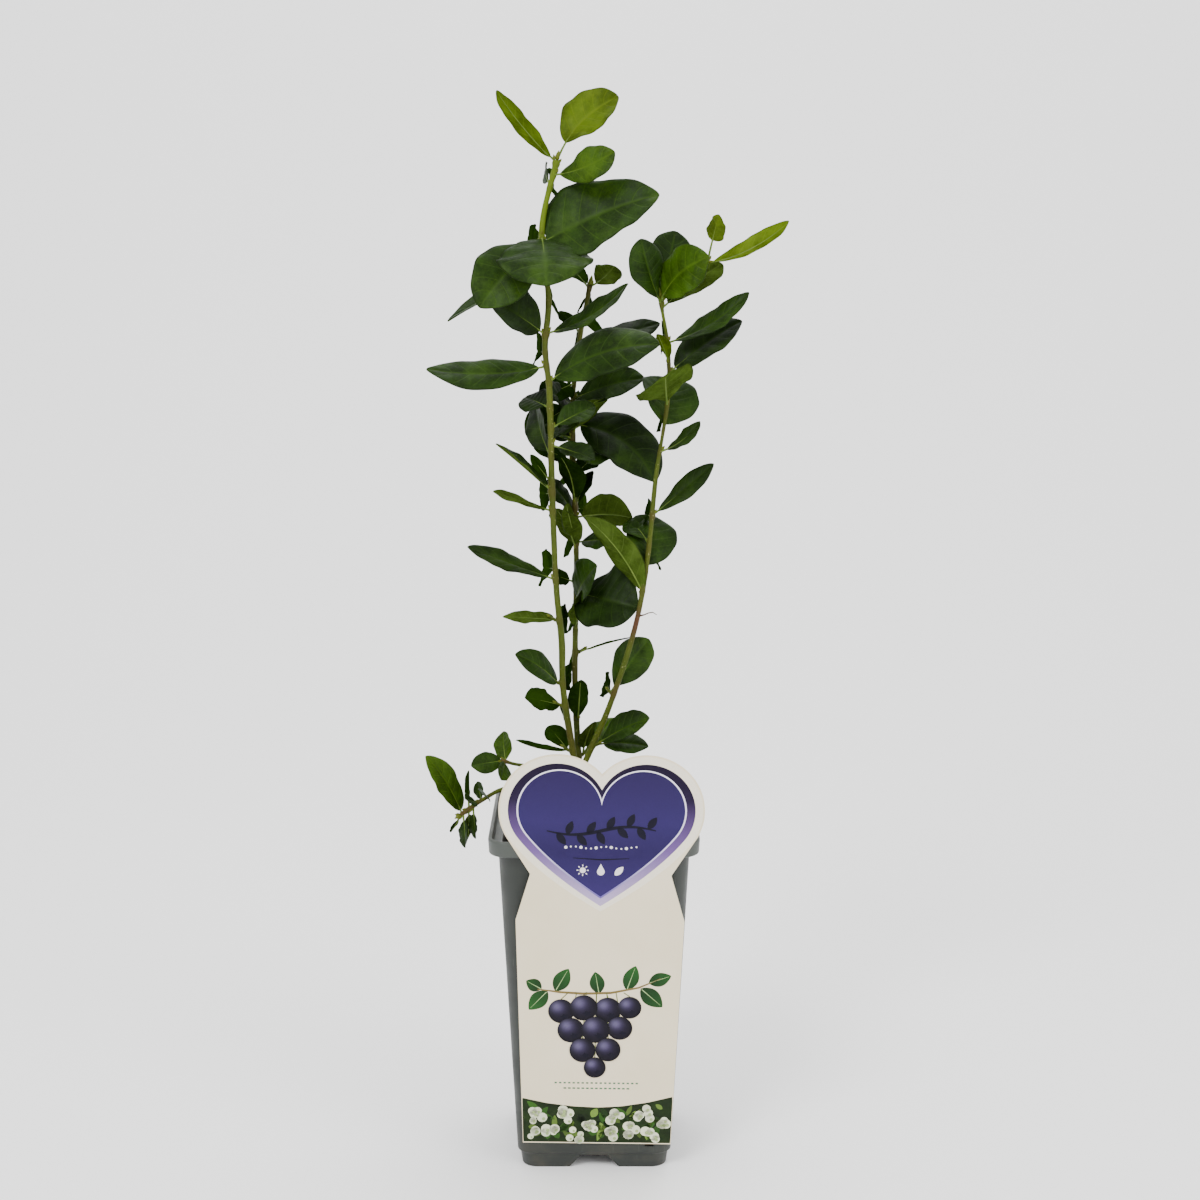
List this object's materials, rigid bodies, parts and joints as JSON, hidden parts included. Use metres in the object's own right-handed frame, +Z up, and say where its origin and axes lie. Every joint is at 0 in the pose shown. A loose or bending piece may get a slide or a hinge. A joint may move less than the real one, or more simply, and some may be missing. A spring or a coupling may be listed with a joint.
{
  "type": "blueberry bush in a pot",
  "caption": "Young blueberry bush with leafy canes rising from one woody base, in a square nursery pot with a heart-headed label card.",
  "frame": {"origin": "centre of the pot's flat underside", "axes": "+Z up the bush, +X to its right and -Y to its front, where the label card stands"},
  "size_m": [0.1828, 0.1233, 0.5456],
  "materials": {
    "pot": "satin",
    "compost": "matte",
    "card": "satin",
    "wood": "matte",
    "stem": "satin",
    "foliage": "satin"
  },
  "bodies": {
    "root": {"pot": "pot", "compost": "compost", "label_card": "card", "woody_base": "wood", "left_stem": "stem", "middle_stem": "stem", "right_stem": "stem", "side_stem": "stem", "side_leaves": "foliage", "second_shoot_leaves": "foliage", "left_spray_1": "foliage", "left_spray_2": "foliage", "left_spray_3": "foliage", "left_spray_4": "foliage", "middle_spray_1": "foliage", "middle_spray_2": "foliage", "middle_spray_3": "foliage", "right_spray_1": "foliage", "right_spray_2": "foliage", "left_leaves_1": "foliage", "left_leaves_2": "foliage", "left_leaves_3": "foliage", "left_leaves_4": "foliage", "middle_leaves_1": "foliage", "middle_leaves_2": "foliage", "middle_leaves_3": "foliage", "middle_leaves_4": "foliage", "right_leaves_1": "foliage", "right_leaves_2": "foliage", "right_leaves_3": "foliage", "right_leaves_4": "foliage"}
  },
  "joints": []
}
